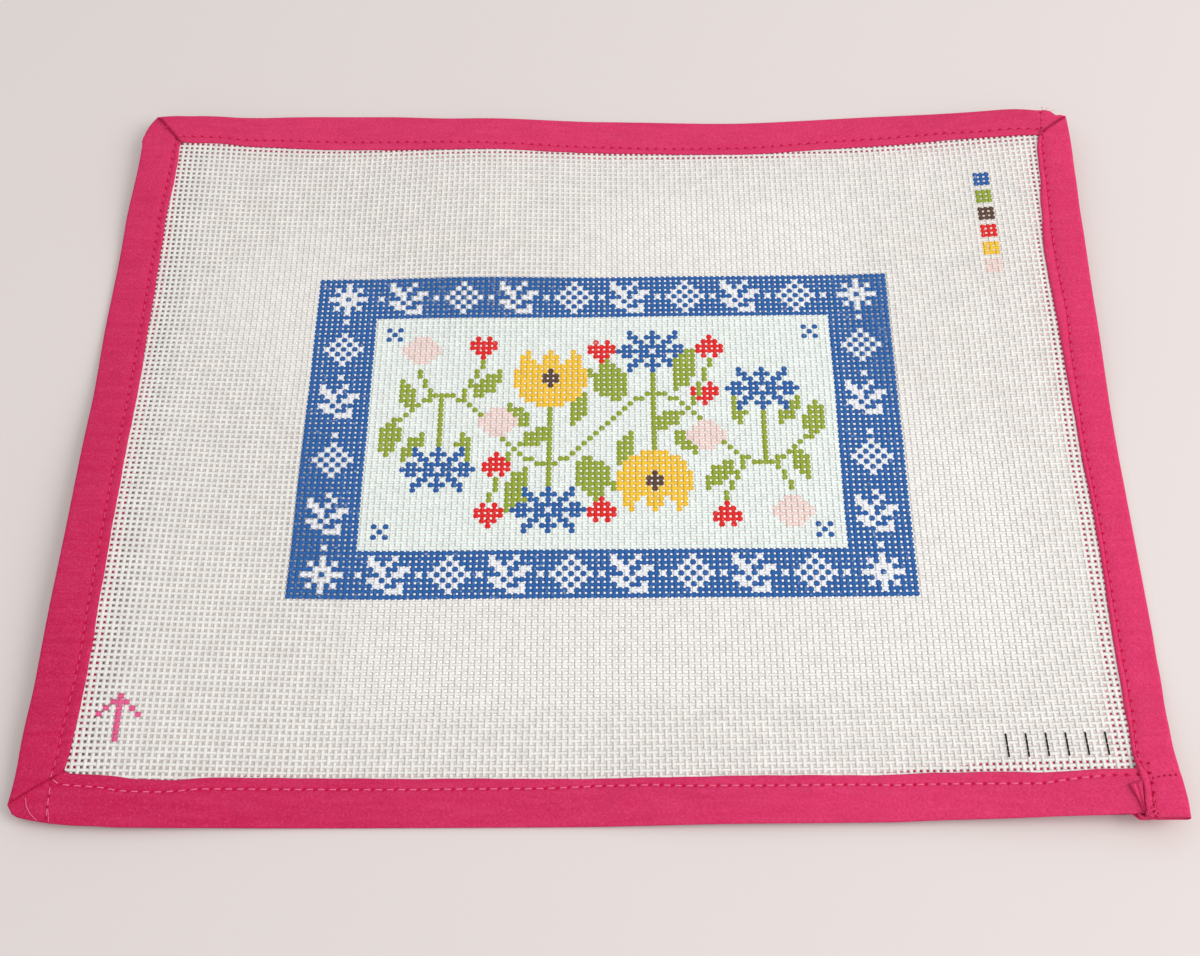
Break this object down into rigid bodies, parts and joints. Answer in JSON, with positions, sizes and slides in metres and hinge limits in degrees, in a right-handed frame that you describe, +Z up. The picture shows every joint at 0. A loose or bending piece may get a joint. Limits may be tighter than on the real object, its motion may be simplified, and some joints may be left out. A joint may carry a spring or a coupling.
{
  "type": "needlepoint canvas panel",
  "caption": "Rectangular painted needlepoint canvas with its raw edge bound all round in a folded cotton tape, lying flat and ready to be stitched.",
  "frame": {"origin": "on the table, under the middle of the panel's overall rectangle", "axes": "+X along the panel's length to the right as it is read, +Y to its far side, +Z up out of the painted face"},
  "size_m": [0.3474, 0.2764, 0.0111],
  "materials": {
    "canvas": "matt stiff cotton mesh, painted in part",
    "binding": "matt plain-weave cotton tape"
  },
  "bodies": {
    "root": {"canvas": "canvas", "binding": "binding"}
  },
  "joints": []
}
